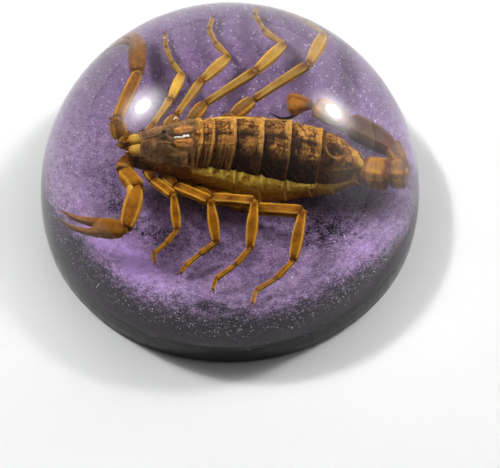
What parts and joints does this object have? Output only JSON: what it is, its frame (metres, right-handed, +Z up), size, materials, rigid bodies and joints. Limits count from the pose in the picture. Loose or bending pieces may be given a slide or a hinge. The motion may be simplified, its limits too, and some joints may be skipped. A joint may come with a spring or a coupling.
{
  "type": "scorpion resin dome paperweight",
  "caption": "Clear cast resin dome with a flat underside, holding a dried golden scorpion over a purple glitter layer and a gloss black base.",
  "frame": {"origin": "centre of the flat underside", "axes": "+Z up along the dome's axis; the scorpion's head points to -X and its left side faces -Y"},
  "size_m": [0.063, 0.063, 0.034],
  "materials": {
    "clear_resin": "polished clear cast resin",
    "purple_glitter": "fine purple and silver glitter in resin",
    "black_resin": "polished black cast resin",
    "scorpion_shell": "dried golden brown cuticle, satin, wetted by the resin"
  },
  "bodies": {
    "root": {"clear_dome": "clear_resin", "glitter_layer": "purple_glitter", "black_base": "black_resin"}
  },
  "joints": []
}
